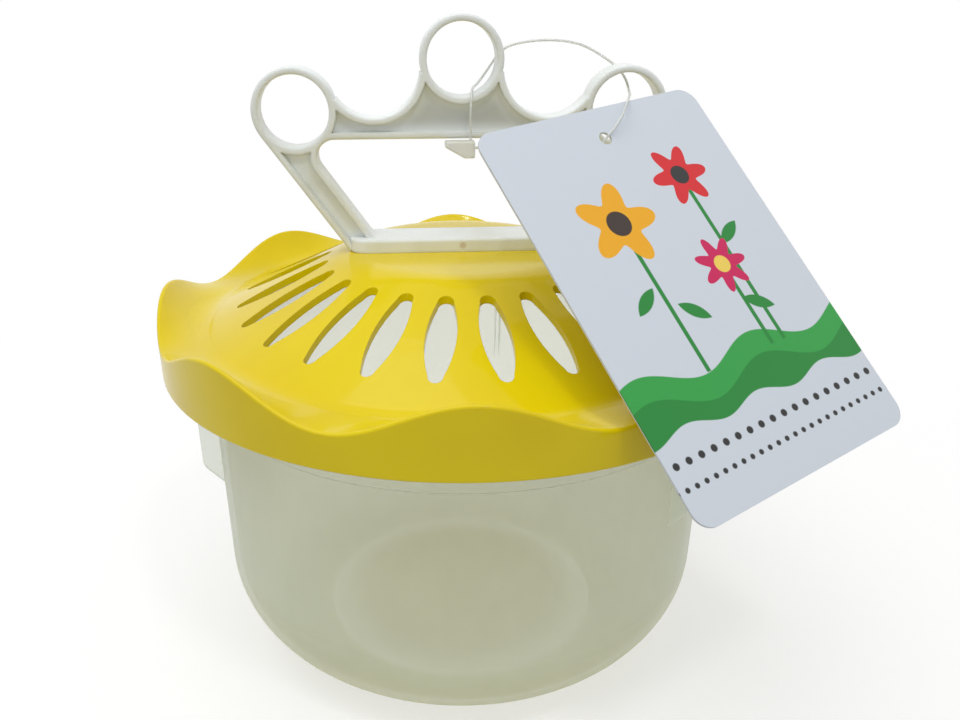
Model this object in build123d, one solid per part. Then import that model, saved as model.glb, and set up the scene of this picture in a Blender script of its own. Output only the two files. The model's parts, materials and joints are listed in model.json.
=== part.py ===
from build123d import *
import os
from math import asin, cos, degrees, hypot, pi, radians, sin, sqrt, tan

# Insect keeping jar: frosted bowl, yellow crown lid with air slots, white handle
# with three rings, and a hang card on a clear loop. Millimetres, Z up, the origin
# at the middle of the bowl's base. The front is -Y, and a turn from the front
# goes towards +X.

# Bowl
bowl_radius = 62.0          # outside of the wall at the foot of the rim band
bowl_wall = 1.4
bowl_draft = 0.5            # degrees, the wall opens upwards
base_corner = 25.0          # outside radius between the wall and the base
base_wall = 1.6
band_bottom = 68.4          # height where the rim band starts
band_step = 0.6             # how far the band stands proud of the wall
rim_top = 82.0
flange_top = 79.2
flange_wall = 1.5
flange_reach = 3.7          # how far the flange stands out of the band
rib_count = 3               # nesting ribs under the flange
rib_turn = 45.0             # the first rib, from the front
rib_wall = 1.4
rib_length = 25.0           # height of a rib's outer edge below the flange
rib_taper = 6.0             # height over which a rib runs back into the wall
rib_root = 0.7              # how deep a rib is rooted in the wall
rib_round = 4.0             # rounding of a rib's lower corner

# Lid
lid_overhang = 10.5         # lid's edge beyond the bowl's wall
lid_wall = 1.6
skirt_drop = 5.2            # skirt's edge below the bowl's rim
gutter_rise = 2.8           # gutter's upper face above the bowl's rim
foot_reach = 0.4            # dome's foot out from the bowl's wall
dome_rise = 16.4            # flat top above the gutter
dome_flat = 27.3            # radius where the flat top and the dome's flank would meet
shoulder_round = 14.0       # rounding between the two
crown_rise = 9.2            # height of a crest above the gutter
crown_turn = -2.2           # degrees, waves and slots from the handle's line
wave_count = 8
wave_points = 12            # points along a wave that the crown's surface goes through
wave_share = 0.6            # how far those points reach each side of a crest, in waves
crown_rows = 9              # rows of those points from the foot to the edge
crown_edge = 0.6            # rounding of the wavy edge
skirt_edge = 0.5            # rounding of the skirt's lower edge
foot_fillet = 6.0           # hollow rounding between dome and gutter
seat_inset = 1.4            # seat ring's inside in from the bowl's wall
lip_wall = 1.6
lip_gap = 0.4               # lip to the flange below it
rim_clearance = 0.4         # lip to the band, all round the rim
slot_count = 24
slot_start = 4.9            # from the flat top's edge to a slot
slot_margin = 8.0           # from a slot's end to the dome's foot
slot_width = 6.45           # at its widest
slot_inner_end = 1.7        # half width where the inner end's rounding starts
slot_outer_end = 1.55

# Handle
handle_depth = 6.6
handle_edge = 0.6           # rounding of its long edges
rim_wall = 1.5              # rim along the edges, both sides of the web
web_wall = 3.6
bar_depth = 11.6
bar_height = 3.2
bar_end_round = 4.6
foot_half = 26.7            # half length of the bar
leg_width = 6.6
ring_radius = 9.4           # outside of a ring
ring_wall = 1.6
middle_ring_rise = 42.6     # ring's middle above the lid's flat top
side_ring_rise = 31.9
side_ring_reach = 37.6      # side ring's middle from the handle's middle
bridge_rise = 25.7          # bridge's underside above the lid's flat top
valley_radius = 10.5        # hollows between the rings
grip_top_round = 4.0
grip_bottom_round = 2.5
prong_place = 14.0          # prongs from the middle
prong_width = 2.8
prong_span = 5.0
prong_barb = 1.3
prong_length = 5.2          # below the lid's flat top
prong_clearance = 0.3       # round a prong in its hole

# Hang card, which leans on one crest of the lid
card_width = 59.0
card_height = 85.6
card_corner = 4.0
card_thick = 0.5
card_hole = 1.5             # radius
card_hole_drop = 7.4        # hole below the top edge
card_lean = 45.7            # degrees, how far the face looks up
card_turn = 23.7            # degrees, the way the face looks, from the front
card_roll = 8.3             # degrees, right edge higher
card_gap = 0.4              # back of the card to the crest
contact_turn = 39.0         # degrees, where it leans on the crest, from the front
hole_up = 51.2              # hole from the contact, along the card
hole_right = 4.0

# Loop and its lock
loop_diameter = 0.55
bend_share = 0.45           # share of a run that each bend takes
loop_route = [
    (1.7, -5.4, 126.8),
    (1.7, -5.4, 131.0),
    (1.8, -4.9, 135.6),
    (2.3, -2.4, 137.9),
    (3.6, 1.8, 138.0),
    (6.4, 5.0, 141.0),
    (9.7, 5.4, 145.6),
    (13.9, 5.4, 146.9),
    (20.9, 5.2, 147.5),
    (27.4, 5.0, 146.7),
    (31.7, 5.0, 144.7),
    (36.6, 5.2, 141.7),
    (38.4, 2.6, 139.0),
    (38.1, -2.0, 136.7),
    (37.2, -6.5, 136.6),
    (34.7, -15.4, 136.9),
    (31.1, -23.9, 132.9),
    (24.8, -24.2, 125.7),
    (17.0, -20.5, 121.5),
    (10.5, -12.0, 121.6),
    (7.4, -5.4, 125.2),
    (2.7, -5.4, 125.2),
]
lock_length = 6.8
lock_depth = 3.0
lock_height = 3.8           # at its thick end
lock_thin = 1.3             # height of its thin end
lock_level = 2.4            # how far its underside is level from the thick end
lock_round = 0.5

# Heights and radii that follow from the sizes above
draft_slope = tan(radians(bowl_draft))
draft_cos = cos(radians(bowl_draft))
band_radius = bowl_radius + band_step
flange_bottom = flange_top - flange_wall
flange_radius = band_radius + flange_reach
lip_radius = band_radius + rim_clearance
lid_radius = bowl_radius + lid_overhang
foot_radius = bowl_radius + foot_reach
seat_inner = bowl_radius - seat_inset
skirt_bottom = rim_top - skirt_drop
gutter = rim_top + gutter_rise
gutter_under = gutter - lid_wall
lid_top = gutter + dome_rise
lid_under = lid_top - lid_wall
flank_slope = dome_rise / (foot_radius - dome_flat)
flank_wall = lid_wall * hypot(1, flank_slope)       # upright thickness of the flank
foot_level = gutter - lid_wall / 2
slot_inner = dome_flat + slot_start
slot_outer = foot_radius - slot_margin
above_lid = lid_top + crown_rise
near = 0.3                  # how close an edge lies to the circle that it is picked by


def round_about(profile, angle=360):
    return revolve(Plane.XZ * profile, Axis.Z, angle)


def ring_block(inner, outer, bottom, top, angle=360, edge=0):
    profile = Pos((inner + outer) / 2, (bottom + top) / 2) * Rectangle(outer - inner, top - bottom)
    if edge:
        profile = fillet(profile.vertices().sort_by_distance((outer, bottom))[0], edge)
    return round_about(profile, angle)


# Bowl: a turned wall with its rim band and flange, and the nesting ribs
def base_arc(inset, floor):
    corner = base_corner - inset
    arc_top = floor + corner * (1 - sin(radians(bowl_draft)))
    wall_at_arc = bowl_radius - inset - (band_bottom - arc_top) * draft_slope
    flat = wall_at_arc - corner * draft_cos
    return JernArc((flat, floor), (1, 0), corner, 90 - bowl_draft)


def make_rib():
    root = bowl_radius - rib_root
    end = flange_bottom - rib_length
    outline = Polyline(
        (root, flange_bottom),
        (flange_radius, flange_bottom),
        (flange_radius, end),
        (root, end - rib_taper),
        close=True,
    )
    face = make_face(outline)
    low_corner = face.vertices().sort_by_distance((flange_radius, end))[0]
    return extrude(Plane.XZ * fillet(low_corner, rib_round), rib_wall / 2, both=True)


def make_bowl():
    outer_arc = base_arc(0, 0)
    inner_arc = base_arc(bowl_wall, base_wall)
    inner_rim = bowl_radius - bowl_wall + (rim_top - band_bottom) * draft_slope
    side = Polyline(
        outer_arc @ 1,
        (bowl_radius, band_bottom),
        (band_radius, band_bottom + band_step),
        (band_radius, flange_bottom),
        (flange_radius, flange_bottom),
        (flange_radius, flange_top),
        (band_radius, flange_top),
        (band_radius, rim_top),
        (inner_rim, rim_top),
        inner_arc @ 1,
    )
    floor = Polyline(inner_arc @ 0, (0, base_wall), (0, 0), outer_arc @ 0)
    bowl = round_about(make_face([outer_arc, side, inner_arc, floor]))
    rib = make_rib()
    for number in range(rib_count):
        bowl += Rot(Z=rib_turn - 90 + number * 360 / rib_count) * rib
    return bowl


# Lid: the crown's waves are one surface, lowered by the wall for the underside
def crown_height(radius, turn):
    share = max(0, (radius - foot_radius) / (lid_radius - foot_radius))
    wave = (1 + cos(wave_count * turn)) / 2
    return gutter + crown_rise * wave * share**2


def above_crown(drop):
    reach = wave_share * 2 * pi / wave_count
    first = foot_radius - 2 * lid_wall
    last = lid_radius + 2 * lid_wall
    rows = []
    for row in range(crown_rows + 1):
        radius = first + row * (last - first) / crown_rows
        line = []
        for step in range(wave_points + 1):
            turn = reach * (2 * step / wave_points - 1)
            height = crown_height(radius, turn) - drop
            line.append(Vector(radius * cos(turn), radius * sin(turn), height))
        rows.append(line)
    face = Face.make_surface_from_array_of_points(rows)
    return extrude(face, above_lid, dir=(0, 0, 1))


def one_wave(inner, outer, bottom, drop, edge=0):
    angle = 360 / wave_count
    block = Rot(Z=-angle / 2) * ring_block(inner, outer, bottom, above_lid, angle, edge)
    return block - above_crown(drop)


def make_crown():
    lip_outer = lip_radius + lip_wall
    skin = one_wave(foot_radius - lid_wall / 4, lid_radius, skirt_bottom, 0, skirt_edge)
    hollow = one_wave(0, lid_radius - lid_wall, 0, lid_wall)
    seat = one_wave(seat_inner, lip_outer, rim_top, lid_wall / 4)
    wave = skin - hollow + seat
    waves = [Rot(Z=number * 360 / wave_count) * wave for number in range(wave_count)]
    return waves[0] + waves[1:] + ring_block(lip_radius, lip_outer, flange_top + lip_gap, rim_top)


def edges_round(shape, radius, low, high):
    def on_circle(edge):
        points = [edge @ share for share in (0, 0.5, 1)]
        return all(abs(hypot(p.X, p.Y) - radius) < near and low < p.Z < high for p in points)

    return shape.edges().filter_by(on_circle)


def make_dome():
    reach = foot_radius + (gutter - foot_level) / flank_slope
    inner_reach = reach - flank_wall / flank_slope
    inner_flat = dome_flat + (lid_wall - flank_wall) / flank_slope
    outline = Polyline(
        (0, lid_under),
        (0, lid_top),
        (dome_flat, lid_top),
        (reach, foot_level),
        (inner_reach, foot_level),
        (inner_flat, lid_under),
        close=True,
    )
    profile = make_face(outline)
    shoulder = profile.vertices().sort_by_distance((dome_flat, lid_top))[0]
    profile = fillet(shoulder, shoulder_round)
    under = profile.vertices().sort_by_distance((inner_flat, lid_under))[0]
    return round_about(fillet(under, shoulder_round - lid_wall))


def make_slot():
    start = slot_inner + slot_inner_end
    end = slot_outer - slot_outer_end
    middle = (start + end) / 2
    half = slot_width / 2
    outline = [
        ThreePointArc((start, slot_inner_end), (slot_inner, 0), (start, -slot_inner_end)),
        ThreePointArc((start, -slot_inner_end), (middle, -half), (end, -slot_outer_end)),
        ThreePointArc((end, -slot_outer_end), (slot_outer, 0), (end, slot_outer_end)),
        ThreePointArc((end, slot_outer_end), (middle, half), (start, slot_inner_end)),
    ]
    return Pos(Z=gutter_under) * extrude(make_face(outline), above_lid - gutter_under)


def make_lid():
    lid = Rot(Z=crown_turn) * make_crown() + make_dome()
    lid = fillet(edges_round(lid, foot_radius, gutter - near, gutter + near), foot_fillet)
    lid = fillet(edges_round(lid, lid_radius, gutter - near, above_lid), crown_edge)
    slot = make_slot()
    slots = [Rot(Z=crown_turn + (number + 0.5) * 360 / slot_count) * slot for number in range(slot_count)]
    hole_width = prong_width + 2 * prong_clearance
    hole_span = prong_span + 2 * prong_clearance
    hole = Box(hole_width, hole_span, 4 * lid_wall)
    holes = [Pos(side * prong_place, 0, lid_top) * hole for side in (-1, 1)]
    return lid - slots - holes


# Handle: one flat moulding, rings and rims round a thinner web, on a wider bar
def handle_forms():
    side = Vector(side_ring_reach, lid_top + side_ring_rise)
    middle = Vector(0, lid_top + middle_ring_rise)
    foot = Vector(foot_half, lid_top)
    to_side = side - foot
    tangent = sqrt(to_side.length**2 - ring_radius**2)
    leg_angle = to_side.get_angle(Vector(0, 1)) + degrees(asin(ring_radius / to_side.length))
    leg_way = Vector(sin(radians(leg_angle)), cos(radians(leg_angle)))
    leg_end = foot + leg_way * tangent
    right_side = [foot, leg_end, side]
    left_side = [Vector(-point.X, point.Y) for point in reversed(right_side)]
    body = make_face(Polyline(*right_side, middle, *left_side, close=True))

    across = side - middle
    span = ring_radius + valley_radius
    above = sqrt(span**2 - (across.length / 2)**2)
    upright = Vector(-across.Y, across.X).normalized()
    valley = (side + middle) / 2 + upright * above

    inner_foot = foot_half - leg_width / leg_way.Y
    slope = leg_way.X / leg_way.Y
    low = inner_foot + bar_height * slope
    high = inner_foot + bridge_rise * slope
    bar_top = lid_top + bar_height
    bridge = lid_top + bridge_rise
    corners = [(-low, bar_top), (low, bar_top), (high, bridge), (-high, bridge)]
    grip = make_face(Polyline(*corners, close=True))
    grip = fillet(grip.vertices().group_by(Axis.Y)[-1], grip_top_round)
    grip = fillet(grip.vertices().group_by(Axis.Y)[0], grip_bottom_round)

    rings = [Pos(0, middle.Y), Pos(side.X, side.Y), Pos(-side.X, side.Y)]
    valleys = [Pos(way * valley.X, valley.Y) for way in (-1, 1)]
    return body, grip, rings, valleys


def make_outline():
    body, grip, rings, valleys = handle_forms()
    outline = body + [place * Circle(ring_radius) for place in rings]
    outline -= [place * Circle(valley_radius) for place in valleys]
    return outline - grip - [place * Circle(ring_radius - ring_wall) for place in rings]


def make_recess():
    body, grip, rings, valleys = handle_forms()
    recess = offset(body, -rim_wall, kind=Kind.INTERSECTION) - offset(grip, rim_wall)
    recess -= [place * Circle(ring_radius) for place in rings]
    return recess - [place * Circle(valley_radius + rim_wall) for place in valleys]


def make_prong():
    inner = prong_place - prong_width / 2
    outer = prong_place + prong_width / 2
    tip = lid_top - prong_length
    outline = Polyline(
        (inner, lid_top + bar_height / 2),
        (outer, lid_top + bar_height / 2),
        (outer, lid_under),
        (outer + prong_barb, lid_under),
        (outer, tip),
        (inner, tip),
        close=True,
    )
    return extrude(Plane.XZ * make_face(outline), prong_span / 2, both=True)


def make_handle():
    plate = extrude(Plane.XZ * make_outline(), handle_depth / 2, both=True)
    plate = fillet(plate.faces().filter_by(Axis.Y).edges(), handle_edge)
    recess = Pos(Y=-web_wall / 2) * extrude(Plane.XZ * make_recess(), handle_depth)
    plate -= [recess, mirror(recess, Plane.XZ)]
    bar = extrude(RectangleRounded(2 * foot_half, bar_depth, bar_end_round), bar_height)
    bar = fillet(bar.edges().group_by(Axis.Z)[-1], handle_edge)
    prong = make_prong()
    return plate + Pos(Z=lid_top) * bar + prong + mirror(prong, Plane.YZ)


# Hang card, drawn in its own plane with the hole's middle as the plane's origin
def card_plane():
    lean = radians(card_lean)
    turn = radians(card_turn)
    face = Vector(sin(turn) * cos(lean), -cos(turn) * cos(lean), sin(lean))
    level = Vector(cos(turn), sin(turn), 0)
    across = level.rotate(Axis((0, 0, 0), face), card_roll)
    up = face.cross(across)
    contact_angle = radians(contact_turn - 90)
    contact_height = crown_height(lid_radius, contact_angle - radians(crown_turn))
    contact = Vector(lid_radius * cos(contact_angle), lid_radius * sin(contact_angle), contact_height)
    hole = contact + face * card_gap + up * hole_up + across * hole_right
    return Plane(origin=hole, x_dir=across, z_dir=face)


def make_card():
    middle = card_hole_drop - card_height / 2
    outline = Pos(0, middle) * RectangleRounded(card_width, card_height, card_corner)
    return extrude(card_plane() * (outline - Circle(card_hole)), card_thick)


# Loop: straight runs with bends as large as the runs allow
def bend_radius(before, at, after):
    come = Vector(*at) - Vector(*before)
    go = Vector(*after) - Vector(*at)
    half_turn = radians(come.get_angle(go) / 2)
    return bend_share * min(come.length, go.length) / tan(half_turn)


def make_loop():
    corners = zip(loop_route, loop_route[1:], loop_route[2:])
    radii = [bend_radius(*corner) for corner in corners]
    path = FilletPolyline(*loop_route, radius=radii)
    section = Plane(path @ 0, z_dir=path % 0) * Circle(loop_diameter / 2)
    loop = sweep(section, path)
    print("loop bends", [round(radius, 1) for radius in radii])
    print("loop length", round(path.length, 1))
    print("loop volume", round(loop.volume, 2), "section by length", round(section.area * path.length, 2))
    return loop


def make_lock():
    right = Vector(*loop_route[-1])
    left = right.X - lock_length
    top = loop_route[0][2]
    bottom = top - lock_height
    outline = Polyline(
        (left, top),
        (right.X, top),
        (right.X, bottom),
        (right.X - lock_level, bottom),
        (left, top - lock_thin),
        close=True,
    )
    block = extrude(Plane.XZ * make_face(outline), lock_depth / 2, both=True)
    return Pos(Y=right.Y) * fillet(block.edges(), lock_round)


plane = card_plane()
print("card hole", plane.origin, "face", plane.z_dir)
os.makedirs("parts", exist_ok=True)
export_step(make_bowl(), "parts/bowl.step")
export_step(make_lid(), "parts/lid.step")
export_step(make_handle(), "parts/handle.step")
export_step(make_card(), "parts/tag_card.step")
export_step(make_loop(), "parts/tag_loop.step")
export_step(make_lock(), "parts/tag_lock.step")
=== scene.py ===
import json
from math import cos, radians, sin

import bpy
import bmesh
from mathutils import Matrix, Vector


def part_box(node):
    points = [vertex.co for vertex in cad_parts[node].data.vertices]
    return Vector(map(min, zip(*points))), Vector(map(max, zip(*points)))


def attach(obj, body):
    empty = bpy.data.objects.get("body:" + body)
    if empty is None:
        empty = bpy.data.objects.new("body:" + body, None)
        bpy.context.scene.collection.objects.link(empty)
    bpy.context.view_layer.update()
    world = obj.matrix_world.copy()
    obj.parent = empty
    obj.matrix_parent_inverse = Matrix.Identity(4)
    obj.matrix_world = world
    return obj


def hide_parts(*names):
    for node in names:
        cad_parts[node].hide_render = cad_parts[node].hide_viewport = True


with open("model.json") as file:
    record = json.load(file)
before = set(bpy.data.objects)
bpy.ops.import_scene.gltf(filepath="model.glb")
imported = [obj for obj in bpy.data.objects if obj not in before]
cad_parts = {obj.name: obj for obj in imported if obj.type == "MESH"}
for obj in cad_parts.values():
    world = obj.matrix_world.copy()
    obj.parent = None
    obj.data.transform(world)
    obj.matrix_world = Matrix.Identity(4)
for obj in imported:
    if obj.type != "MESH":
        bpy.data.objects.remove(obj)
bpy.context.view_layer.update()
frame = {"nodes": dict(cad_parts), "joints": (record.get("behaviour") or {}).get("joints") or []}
scene = bpy.context.scene
scene.view_settings.view_transform = "Standard"
nodes = frame["nodes"]
mm = 0.001
print("frame loaded:", ", ".join(sorted(nodes)))


# camera, at the photograph's viewing angle
camera = {
    "place": (-0.01564, -0.20901, 0.15708),
    "looks": (0.068, 0.9087, -0.4118),
    "lens": 33.04,
    "shift": (0.0196, 0.0326),
    "nearest": 0.01,
}
eye = bpy.data.objects.new("eye", bpy.data.cameras.new("eye"))
eye.location = camera["place"]
eye.rotation_euler = Vector(camera["looks"]).to_track_quat("-Z", "Y").to_euler()
eye.data.lens = camera["lens"]
eye.data.shift_x, eye.data.shift_y = camera["shift"]
eye.data.clip_start = camera["nearest"]
scene.collection.objects.link(eye)
scene.camera = eye
print("camera set")


# filament loop, a limp cord from the lock round two rings and through the card, back to the lock
loop = {
    "diameter": 0.00055,
    "length": 0.128,
    "roundness": 3,                                      # of the section
    "steps": 12,                                         # from one point of the route to the next
    "route": [
        (0.0017, -0.0054, 0.1268),
        (0.0017, -0.0054, 0.1310),
        (0.0018, -0.0049, 0.1356),
        (0.0023, -0.0024, 0.1379),
        (0.0036, 0.0018, 0.1380),
        (0.0064, 0.0050, 0.1410),
        (0.0097, 0.0054, 0.1456),
        (0.0139, 0.0054, 0.1469),
        (0.0209, 0.0052, 0.1475),
        (0.0274, 0.0050, 0.1467),
        (0.0317, 0.0050, 0.1447),
        (0.0366, 0.0052, 0.1417),
        (0.0384, 0.0026, 0.1390),
        (0.0381, -0.0020, 0.1367),
        (0.0372, -0.0065, 0.1366),
        (0.0347, -0.0154, 0.1369),
        (0.0311, -0.0239, 0.1329),
        (0.0248, -0.0242, 0.1257),
        (0.0170, -0.0205, 0.1215),
        (0.0105, -0.0120, 0.1216),
        (0.0074, -0.0054, 0.1252),
        (0.0027, -0.0054, 0.1252),
    ],
}


def makeLoop():
    line = bpy.data.curves.new("filament", "CURVE")
    line.dimensions = "3D"
    line.bevel_depth = 1.0                               # times each point's radius
    line.bevel_resolution = loop["roundness"]
    line.resolution_u = loop["steps"]
    line.use_fill_caps = True
    spline = line.splines.new("NURBS")
    spline.points.add(len(loop["route"]) - 1)
    for point, place in zip(spline.points, loop["route"]):
        point.co = (*place, 1)
        point.radius = loop["diameter"] / 2
    spline.order_u = 3
    spline.use_endpoint_u = True
    piece = bpy.data.objects.new("filament", line)
    scene.collection.objects.link(piece)
    return piece


filament = makeLoop()
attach(filament, "cover")
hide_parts("tag_loop")
print("filament made")


# shader maths: a Term is a socket that takes part in sums
class Term:
    def __init__(self, finish, socket):
        self.finish = finish
        self.socket = socket

    def calc(self, kind, other=0.0, flip=False):
        pair = (other, self) if flip else (self, other)
        return self.finish.add("ShaderNodeMath", {"operation": kind}, {0: pair[0], 1: pair[1]})

    def __add__(self, other):
        return self.calc("ADD", other)

    def __sub__(self, other):
        return self.calc("SUBTRACT", other)

    def __mul__(self, other):
        return self.calc("MULTIPLY", other)

    def __truediv__(self, other):
        return self.calc("DIVIDE", other)

    def __pow__(self, other):
        return self.calc("POWER", other)

    def __radd__(self, other):
        return self.calc("ADD", other, True)

    def __rsub__(self, other):
        return self.calc("SUBTRACT", other, True)

    def __rmul__(self, other):
        return self.calc("MULTIPLY", other, True)

    def __abs__(self):
        return self.calc("ABSOLUTE")

    def least(self, other):
        return self.calc("MINIMUM", other)

    def most(self, other):
        return self.calc("MAXIMUM", other)

    def past(self, low, high):                           # 0 below low, 1 above high, smooth between
        settings = {"interpolation_type": "SMOOTHSTEP"}
        return self.finish.add("ShaderNodeMapRange", settings, {0: self, 1: low, 2: high})


class Finish:                                            # a material or the surround, and its nodes
    def __init__(self, name, owner=None):
        self.owner = owner or bpy.data.materials.new(name)
        self.owner.use_nodes = True
        self.tree = self.owner.node_tree
        self.tree.nodes.clear()
        self.place = self.add("ShaderNodeTexCoord", {}, {}, "Object")

    def add(self, kind, settings, values, out=0):
        node = self.tree.nodes.new(kind)
        for key, setting in settings.items():
            setattr(node, key, setting)
        for key, value in values.items():
            if isinstance(value, Term):
                self.tree.links.new(value.socket, node.inputs[key])
            else:
                node.inputs[key].default_value = value
        return Term(self, node.outputs[out]) if len(node.outputs) else node

    def split(self, vector):
        whole = self.add("ShaderNodeSeparateXYZ", {}, {0: vector})
        return [Term(self, socket) for socket in whole.socket.node.outputs]

    def vector(self, kind, first, second, out=0):
        return self.add("ShaderNodeVectorMath", {"operation": kind}, {0: first, 1: second}, out)

    def noise(self, size, detail=2.0, stretch=(1, 1, 1)):
        place = self.vector("MULTIPLY", self.place, stretch)
        return self.add("ShaderNodeTexNoise", {}, {"Vector": place, "Scale": 1 / size, "Detail": detail})

    def blend(self, first, second, share):               # colours
        return self.add("ShaderNodeMix", {"data_type": "RGBA"}, {0: share, 6: first, 7: second}, 2)

    def bump(self, height, depth, soften, samples=4):    # on edges that are rounded by soften
        rounded = self.add("ShaderNodeBevel", {"samples": samples}, {"Radius": soften})
        values = {"Strength": 1.0, "Distance": depth, "Height": height, "Normal": rounded}
        return self.add("ShaderNodeBump", {}, values)

    def surface(self, **values):
        named = {key.replace("_", " "): value for key, value in values.items()}
        return self.add("ShaderNodeBsdfPrincipled", {}, named)

    def mix(self, first, second, share):                 # shaders
        return self.add("ShaderNodeMixShader", {}, {0: share, 1: first, 2: second})

    def end(self, shader):
        self.add("ShaderNodeOutputMaterial", {}, {"Surface": shader})
        return self.owner


def farFrom(u, v, place):
    return ((u - place[0]) ** 2 + (v - place[1]) ** 2) ** 0.5


def dress(node, material):
    mesh = nodes[node].data
    mesh.materials.clear()
    mesh.materials.append(material)


# frosted bowl: see-through straight on, cloudier along its outline, cool outside, and a painted yellowish
# glow of the lid's light on its inside and floor
bowlFinish = {
    "cool": (0.85, 0.95, 1.0, 1),
    # painted light: the inside skin's yellowish tone stands in for the lid's yellow light within the bowl
    "paintedLidGlow": (0.72, 0.71, 0.42, 1),
    "paintedFloorGlow": (0.95, 0.86, 0.52, 1),                      # on the floor inside, painted yellowish light from the lid
    "glow": (0.955, 0.975, 0.895, 1),
    "clear": (0.98, 0.985, 0.955, 1),
    "glowShare": 0.55,                                   # of the haze, light that goes on through
    "haze": (0.27, 0.95),                                # straight on and along the outline
    "corner": (0.0366, 0.025),                           # middle of the base's rounding, out and up
    "wallMiddle": 0.0243,                                # from there to the middle of the wall
    "wallFade": 0.0003,
    "draft": 0.0087,                                     # how far the wall leans out per height
    "coolTop": (0.004, 0.034),                           # the base's corner keeps the painted lid glow
    "floorHaze": 0.9,
    "floorReach": (0.024, 0.046),
    "floorTop": (0.002, 0.007),
    "patch": 0.022,
    "patchDetail": 3.0,
    "patchStretch": (1, 1, 0.6),
    "patchRange": (0.3, 0.75),
    "patchHaze": 0.04,
    "patchRough": 0.06,
    "grain": 0.0004,
    "grainDepth": 0.00001,
    "grainRough": 0.04,
    "rough": 0.30,
    "soften": 0.0002,
}


def makeFrosted():
    frosted = Finish("frostedPlastic")
    x, y, z = frosted.split(frosted.place)
    patch = frosted.noise(bowlFinish["patch"], bowlFinish["patchDetail"], bowlFinish["patchStretch"])
    cloud = patch.past(*bowlFinish["patchRange"])
    grain = frosted.noise(bowlFinish["grain"])
    slant = frosted.add("ShaderNodeLayerWeight", {}, {}, "Facing")
    reach = farFrom(x, y, (0, 0))
    onFloor = (1 - reach.past(*bowlFinish["floorReach"])) * (1 - z.past(*bowlFinish["floorTop"]))
    cornerUp = bowlFinish["corner"][1]
    fromCorner = farFrom(reach, z.least(cornerUp), bowlFinish["corner"])
    wallMiddle = bowlFinish["wallMiddle"] + (z - cornerUp).most(0.0) * bowlFinish["draft"]
    outside = (fromCorner - wallMiddle).past(-bowlFinish["wallFade"], bowlFinish["wallFade"])
    cooled = outside * z.past(*bowlFinish["coolTop"])
    # painted glow: the inside skin gets the lid's yellowish light, the outside skin its cool tone
    tone = frosted.blend(bowlFinish["paintedLidGlow"], bowlFinish["cool"], cooled)
    skin = frosted.surface(
        Base_Color=frosted.blend(tone, bowlFinish["paintedFloorGlow"], onFloor),
        Roughness=bowlFinish["rough"] + cloud * bowlFinish["patchRough"] + grain * bowlFinish["grainRough"],
        Normal=frosted.bump(grain, bowlFinish["grainDepth"], bowlFinish["soften"]),
    )
    glow = frosted.add("ShaderNodeBsdfTranslucent", {}, {"Color": bowlFinish["glow"]})
    clear = frosted.add("ShaderNodeBsdfTransparent", {}, {"Color": bowlFinish["clear"]})
    body = frosted.mix(skin, glow, bowlFinish["glowShare"])
    low, high = bowlFinish["haze"]
    haze = low + slant * slant * (high - low) + cloud * bowlFinish["patchHaze"]
    return frosted.end(frosted.mix(clear, body, haze.most(onFloor * bowlFinish["floorHaze"])))


dress("bowl", makeFrosted())


# yellow lid
lidFinish = {
    "sunny": (0.79, 0.62, 0.0, 1),
    "deep": (0.75, 0.57, 0.0, 1),
    "patch": 0.030,
    "patchDetail": 3.0,
    "patchRange": (0.35, 0.75),
    "patchRough": 0.05,
    "peel": 0.004,
    "peelDepth": 0.000006,
    "peelRough": 0.05,
    "rough": 0.17,
    "gloss": 0.1,
    "coat": 0.28,
    "coatRough": 0.05,
    "soften": 0.00025,
}


def makeYellow():
    yellow = Finish("yellowPlastic")
    flow = yellow.noise(lidFinish["patch"], lidFinish["patchDetail"]).past(*lidFinish["patchRange"])
    peel = yellow.noise(lidFinish["peel"])
    shader = yellow.surface(
        Base_Color=yellow.blend(lidFinish["sunny"], lidFinish["deep"], flow),
        Roughness=lidFinish["rough"] + flow * lidFinish["patchRough"] + peel * lidFinish["peelRough"],
        Specular_IOR_Level=lidFinish["gloss"],
        Coat_Weight=lidFinish["coat"],
        Coat_Roughness=lidFinish["coatRough"],
        Normal=yellow.bump(peel, lidFinish["peelDepth"], lidFinish["soften"]),
    )
    return yellow.end(shader)


dress("lid", makeYellow())


# white handle
handleFinish = {
    "milk": (0.85, 0.89, 0.88, 1),
    "shade": (0.76, 0.79, 0.74, 1),
    # painted shade in the web's recess, together with the thin web's greyer translucent look
    "web": (0.54, 0.56, 0.53, 1),
    "webDepth": (0.0019, 0.0027),                        # of the web's faces and the rims beside them
    "webTop": (0.1275, 0.1315),                          # the painted recess shade stops below here, so the legs stay pale
    "rings": [(-0.0376, 0.1331), (0, 0.1438), (0.0376, 0.1331)],
    "ringFade": (0.0090, 0.0130),                        # the painted recess shade fades out to the rims here
    "valleys": [(-0.0198, 0.1420), (0.0198, 0.1420)],
    "valleyFade": (0.0115, 0.0155),
    "gate": (0.52, 0.36, 0.22, 1),                       # mark of the mould on the bar's front
    "gatePlace": (0, 0.1028),
    "gateFade": (0.00044, 0.0011),
    "gateShare": 0.55,
    "frontDepth": 0.0006,                                # the front face ends this far in
    "frontFade": 0.0002,
    "patch": 0.012,
    "patchDetail": 3.0,
    "patchRange": (0.35, 0.8),
    "peel": 0.0011,
    "peelDepth": 0.00001,
    "peelRough": 0.06,
    "rough": 0.34,
    "bend": 1.49,                                        # index of refraction
    "soften": 0.0008,
}


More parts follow.
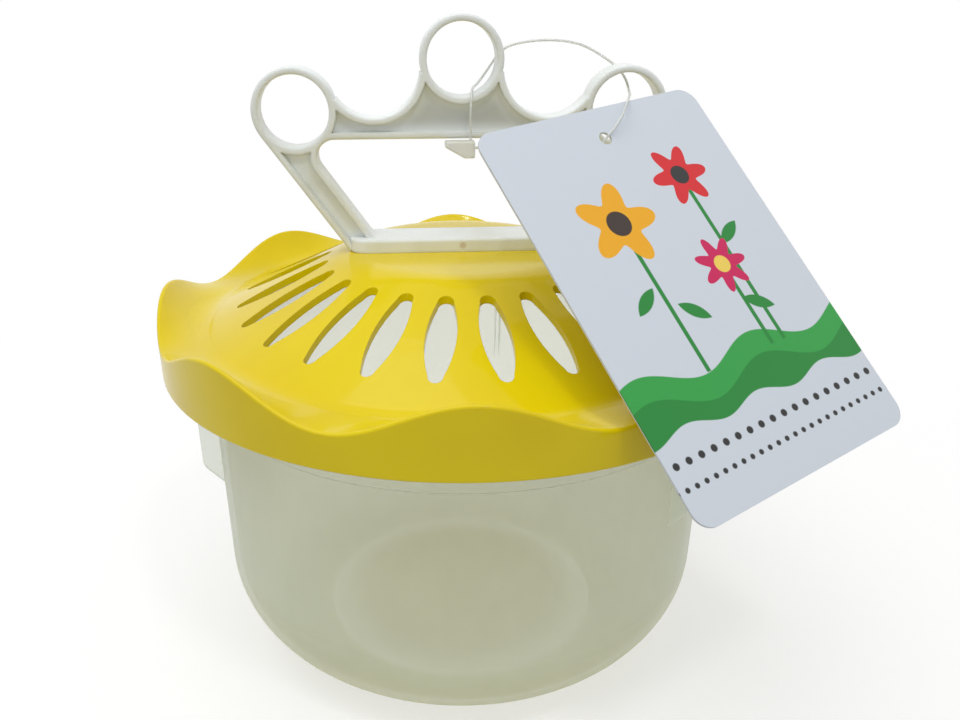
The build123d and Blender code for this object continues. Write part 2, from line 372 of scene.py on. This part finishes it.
def makeWhite():
    white = Finish("whitePlastic")
    x, y, z = white.split(white.place)
    flow = white.noise(handleFinish["patch"], handleFinish["patchDetail"]).past(*handleFinish["patchRange"])
    peel = white.noise(handleFinish["peel"])
    # painted shade: darkens the recessed web between the rims, away from the rings and valleys
    shadedWeb = (1 - abs(y).past(*handleFinish["webDepth"])) * z.past(*handleFinish["webTop"])
    for place in handleFinish["rings"]:
        shadedWeb = shadedWeb * farFrom(x, z, place).past(*handleFinish["ringFade"])
    for place in handleFinish["valleys"]:
        shadedWeb = shadedWeb * farFrom(x, z, place).past(*handleFinish["valleyFade"])
    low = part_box("handle")[0]
    onFront = (low.y + handleFinish["frontDepth"] - y).past(0, handleFinish["frontFade"])
    gate = (1 - farFrom(x, z, handleFinish["gatePlace"]).past(*handleFinish["gateFade"])) * onFront
    tone = white.blend(handleFinish["milk"], handleFinish["shade"], flow)
    tone = white.blend(tone, handleFinish["web"], shadedWeb)
    shader = white.surface(
        Base_Color=white.blend(tone, handleFinish["gate"], gate * handleFinish["gateShare"]),
        Roughness=handleFinish["rough"] + peel * handleFinish["peelRough"],
        IOR=handleFinish["bend"],
        Normal=white.bump(peel, handleFinish["peelDepth"], handleFinish["soften"]),
    )
    return white.end(shader)


dress("handle", makeWhite())


# coated hang card, its print drawn in millimetres across and up from the hole
card = {
    "turn": 23.7,
    "roll": 8.3,
    "thick": 0.0005,
    "edgeFade": 0.00005,
    "paper": (0.62, 0.67, 0.735, 1),
    "back": (0.66, 0.66, 0.64, 1),
    "leaf": (0.004, 0.22, 0.025, 1),
    "grass": (0.02, 0.33, 0.05, 1),
    "ink": (0.012, 0.012, 0.012, 1),
    "soft": 0.12,                                        # blur of a printed outline
    "stem": 0.5,
    "stemFoot": 2.0,                                     # below the meadow's upper outline
    "meadow": (-51.0, -61.0),                            # upper and lower outline
    "upperWave": (0.21, 0.6, 2.2),                       # pace, start and height
    "lowerWave": (0.33, 2.0, 1.1),
    "darkFrom": 5.0,                                     # below the meadow's upper outline
    "dots": [(-66.0, 0.75, 3.2), (-70.5, 0.55, 2.4)],    # height, size and spacing
    "leaves": [(-13.5, -36.0, 35), (-4.0, -41.0, 140), (15.5, -28.0, 30), (12.0, -44.0, 150)],
    "leafArc": 6.0,
    "leafOffset": 4.6,
    "petalWave": (0.76, 0.24),                           # mean reach and swing, times a flower's size
    "heartSize": 0.3,                                    # times a flower's size
    "fibre": 0.0006,
    "fibreDetail": 3.0,
    "fibreDepth": 0.000004,
    "fibreRough": 0.05,
    "rough": 0.62,
    "frontSmooth": 0.24,                                 # the coated front is smoother by this
    "soften": 0.0001,
}
flowers = [
    {
        "at": (-9.0, -19.0), "size": 9.5, "petals": 5,
        "petal": (0.84, 0.40, 0.004, 1), "heart": (0.03, 0.015, 0.01, 1),
    },
    {
        "at": (12.5, -12.5), "size": 7.5, "petals": 6,
        "petal": (0.66, 0.012, 0.018, 1), "heart": (0.012, 0.012, 0.014, 1),
    },
    {
        "at": (9.0, -34.0), "size": 6.5, "petals": 7,
        "petal": (0.58, 0.0, 0.09, 1), "heart": (0.86, 0.62, 0.10, 1),
    },
]


def cardAxes():
    swing = next(joint for joint in frame["joints"] if joint["name"] == "tag_swing")
    face = Vector(swing["axis"]).normalized()
    level = Vector((cos(radians(card["turn"])), sin(radians(card["turn"])), 0))
    across = Matrix.Rotation(radians(card["roll"]), 3, face) @ level
    return Vector(swing["pos_m"]), across, face.cross(across), face


def inside(beyond):                                      # 1 where the way beyond an outline is negative
    return 1 - beyond.past(-card["soft"], card["soft"])


def leafShape(u, v, leaf):
    tilt = radians(leaf[2])
    along = (u - leaf[0]) * cos(tilt) + (v - leaf[1]) * sin(tilt)
    beside = (v - leaf[1]) * cos(tilt) - (u - leaf[0]) * sin(tilt)
    offset = card["leafOffset"]
    far = farFrom(along, beside, (0, offset)).most(farFrom(along, beside, (0, -offset)))
    return inside(far - card["leafArc"])


def petalShape(u, v, flower):
    mean, swing = card["petalWave"]
    turn = (v - flower["at"][1]).calc("ARCTAN2", u - flower["at"][0])
    wave = (turn * flower["petals"]).calc("COSINE")
    return inside(farFrom(u, v, flower["at"]) - (mean + wave * swing) * flower["size"])


def heartShape(u, v, flower):
    return inside(farFrom(u, v, flower["at"]) - card["heartSize"] * flower["size"])


def stemShape(u, v, flower):
    beside = abs(u - flower["at"][0]) - card["stem"]
    foot = card["meadow"][0] - card["stemFoot"]
    return inside(beside.most(v - flower["at"][1]).most(foot - v))


def dotShape(u, v, row):
    height, size, spacing = row
    beside = u.calc("FLOORED_MODULO", spacing) - spacing / 2
    return inside(farFrom(beside, v, (0, height)) - size)


def waveLine(u, pace, start, height):
    return (u * pace + start).calc("SINE") * height


def printCard(coated, tone, u, v):
    top, bottom = card["meadow"]
    hill = v - top - waveLine(u, *card["upperWave"])
    edge = bottom + waveLine(u, *card["lowerWave"]) - v
    layers = [
        (card["grass"], inside(hill.most(edge))),
        (card["leaf"], inside((hill + card["darkFrom"]).most(edge))),
    ]
    layers += [(card["leaf"], stemShape(u, v, flower)) for flower in flowers]
    layers += [(card["leaf"], leafShape(u, v, leaf)) for leaf in card["leaves"]]
    for flower in flowers:
        layers.append((flower["petal"], petalShape(u, v, flower)))
        layers.append((flower["heart"], heartShape(u, v, flower)))
    layers += [(card["ink"], dotShape(u, v, row)) for row in card["dots"]]
    for colour, shape in layers:
        tone = coated.blend(tone, colour, shape)
    return tone


def makeCoated():
    coated = Finish("coatedCard")
    hole, across, up, face = cardAxes()
    fromHole = coated.vector("SUBTRACT", coated.place, hole)
    deep = coated.vector("DOT_PRODUCT", fromHole, face, "Value")
    u = coated.vector("DOT_PRODUCT", fromHole, across, "Value") / mm
    v = coated.vector("DOT_PRODUCT", fromHole, up, "Value") / mm
    front = (deep - card["thick"] / 2).past(-card["edgeFade"], card["edgeFade"])
    fibre = coated.noise(card["fibre"], card["fibreDetail"])
    printed = printCard(coated, card["paper"], u, v)
    shader = coated.surface(
        Base_Color=coated.blend(card["back"], printed, front),
        Roughness=card["rough"] - front * card["frontSmooth"] + fibre * card["fibreRough"],
        Normal=coated.bump(fibre, card["fibreDepth"], card["soften"]),
    )
    return coated.end(shader)


dress("tag_card", makeCoated())


# clear drawn filament, on the loop and its lock
clearFinish = {
    "tint": (0.88, 0.90, 0.87, 1),
    "passes": 0.45,                                      # light that goes through
    "bend": 1.5,                                         # index of refraction
    "rough": 0.3,
    "streak": 0.0006,
    "streakDepth": 0.000006,
    "streakRough": 0.1,
    "soften": 0.0001,
}


def makeClear():
    clear = Finish("clearFilament")
    streak = clear.noise(clearFinish["streak"])
    shader = clear.surface(
        Base_Color=clearFinish["tint"],
        Roughness=clearFinish["rough"] + streak * clearFinish["streakRough"],
        Transmission_Weight=clearFinish["passes"],
        IOR=clearFinish["bend"],
        Normal=clear.bump(streak, clearFinish["streakDepth"], clearFinish["soften"]),
    )
    return clear.end(shader)


clearPlastic = makeClear()
dress("tag_lock", clearPlastic)
filament.data.materials.append(clearPlastic)
print("materials made")


# studio: a pale floor, a white surround and soft lamps
studio = {
    "floorSize": 6.0,
    "floor": (0.52, 0.52, 0.52, 1),
    "floorRough": 0.9,
    "floorLift": 0.52,
    "fade": (0.10, 0.30),                                # the floor goes over to plain white here
    "surround": 0.57,
    "aim": (0, 0, 0.07),                                 # the lamps point here
    "lamps": [                                           # name, place, size and power
        ("topLamp", (-0.20, -0.10, 0.75), 0.7, 2.2),
        ("glintLamp", (0.10, -0.30, 0.60), 0.08, 0.45),
    ],
}


def seenDirectly(finish):                                # camera, glossy and transmitted rays
    path = finish.add("ShaderNodeLightPath", {}, {}, "Is Camera Ray")
    rays = path.socket.node.outputs
    return path.most(Term(finish, rays["Is Glossy Ray"])).most(Term(finish, rays["Is Transmission Ray"]))


def makeFloor():
    mesh = bpy.data.meshes.new("floor")
    shape = bmesh.new()
    bmesh.ops.create_grid(shape, x_segments=1, y_segments=1, size=studio["floorSize"] / 2)
    shape.to_mesh(mesh)
    shape.free()
    floor = bpy.data.objects.new("floor", mesh)
    scene.collection.objects.link(floor)
    pale = Finish("paleFloor")
    seen = seenDirectly(pale)
    matt = pale.surface(Base_Color=studio["floor"], Roughness=studio["floorRough"])
    lift = pale.add("ShaderNodeEmission", {}, {"Strength": seen * studio["floorLift"]})
    near = pale.add("ShaderNodeAddShader", {}, {0: matt, 1: lift})
    white = pale.add("ShaderNodeEmission", {}, {"Strength": 1.0})
    away = pale.vector("LENGTH", pale.place, (0, 0, 0), "Value").past(*studio["fade"])
    mesh.materials.append(pale.end(pale.mix(near, white, away * seen)))


def makeSurround():
    scene.world = bpy.data.worlds.new("surround")
    air = Finish("surround", scene.world)
    strength = studio["surround"] + seenDirectly(air) * (1 - studio["surround"])
    glow = air.add("ShaderNodeBackground", {}, {"Color": (1, 1, 1, 1), "Strength": strength})
    air.add("ShaderNodeOutputWorld", {}, {"Surface": glow})


def makeLamp(name, place, size, power):
    lamp = bpy.data.lights.new(name, "AREA")
    lamp.shape = "DISK"
    lamp.size = size
    lamp.energy = power
    stand = bpy.data.objects.new(name, lamp)
    stand.location = place
    stand.rotation_euler = (Vector(studio["aim"]) - Vector(place)).to_track_quat("-Z", "Y").to_euler()
    scene.collection.objects.link(stand)


makeFloor()
makeSurround()
for lamp in studio["lamps"]:
    makeLamp(*lamp)
print("studio set")
